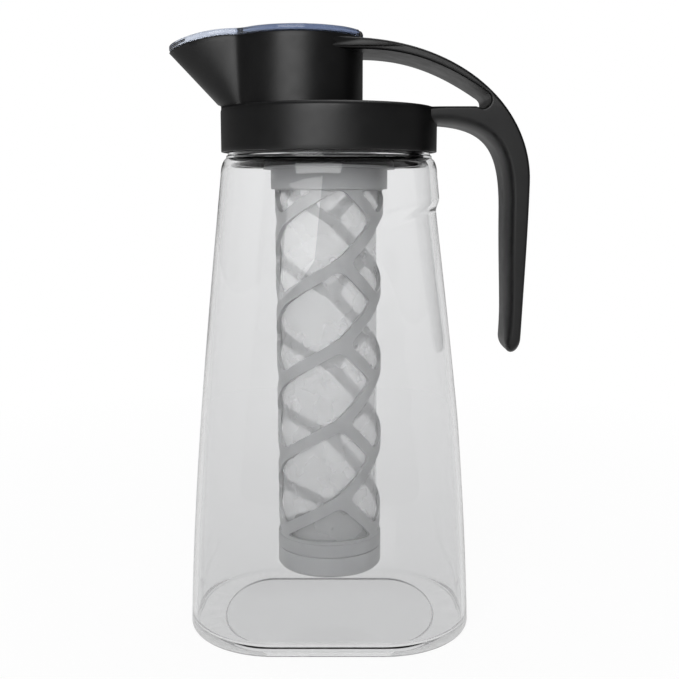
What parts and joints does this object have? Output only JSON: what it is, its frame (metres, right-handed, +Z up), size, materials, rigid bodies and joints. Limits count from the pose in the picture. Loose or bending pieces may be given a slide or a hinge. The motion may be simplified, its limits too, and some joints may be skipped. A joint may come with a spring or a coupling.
{
  "type": "iced tea pitcher",
  "caption": "Clear oblong pitcher with a black twist-off lid, strap handle, spout with a flip cover, and a latticed tea infuser that hangs from the lid.",
  "frame": {"origin": "the jug's axis at the table, in the plane of the foot", "axes": "+Z up along the jug's axis, +X towards the handle, -X towards the spout"},
  "size_m": [0.1711, 0.105, 0.2921],
  "materials": {
    "clear_jug": "clear, glossy",
    "black_plastic": "satin",
    "silicone": "matt, translucent",
    "clear_cover": "clear, blue tint, glossy",
    "pin_steel": "plain",
    "smoke_plastic": "translucent grey, satin",
    "mesh": "fine woven nylon mesh"
  },
  "bodies": {
    "jug": {"jug_body": "clear_jug"},
    "seal": {"lid_seal": "silicone"},
    "lid": {"lid_body": "black_plastic", "lid_plug": "black_plastic", "handle": "black_plastic", "cover_hinge_pin": "pin_steel"},
    "cover": {"pour_cover": "clear_cover"},
    "infuser": {"infuser_frame": "smoke_plastic", "infuser_mesh": "mesh"},
    "infuser_base": {"infuser_cap": "smoke_plastic"}
  },
  "joints": [
    {"name": "lid_lift", "type": "slide", "parent": "jug", "child": "seal", "axis": [0, 0, 1], "range_m": [0, 0.25]},
    {"name": "lid_turn", "type": "hinge", "parent": "seal", "child": "lid", "pos_m": [0, 0, 0.2569], "axis": [0, 0, 1], "range_deg": [0, 60]},
    {"name": "cover_hinge", "type": "hinge", "parent": "lid", "child": "cover", "pos_m": [0.0142, 0, 0.28995], "axis": [0, 1, 0], "range_deg": [0, 105]},
    {"name": "infuser_turn", "type": "hinge", "parent": "lid", "child": "infuser", "pos_m": [0, 0, 0.229], "axis": [0, 0, 1], "range_deg": [0, 45]},
    {"name": "cap_pull", "type": "slide", "parent": "infuser", "child": "infuser_base", "axis": [0, 0, -1], "range_m": [0, 0.018]}
  ]
}
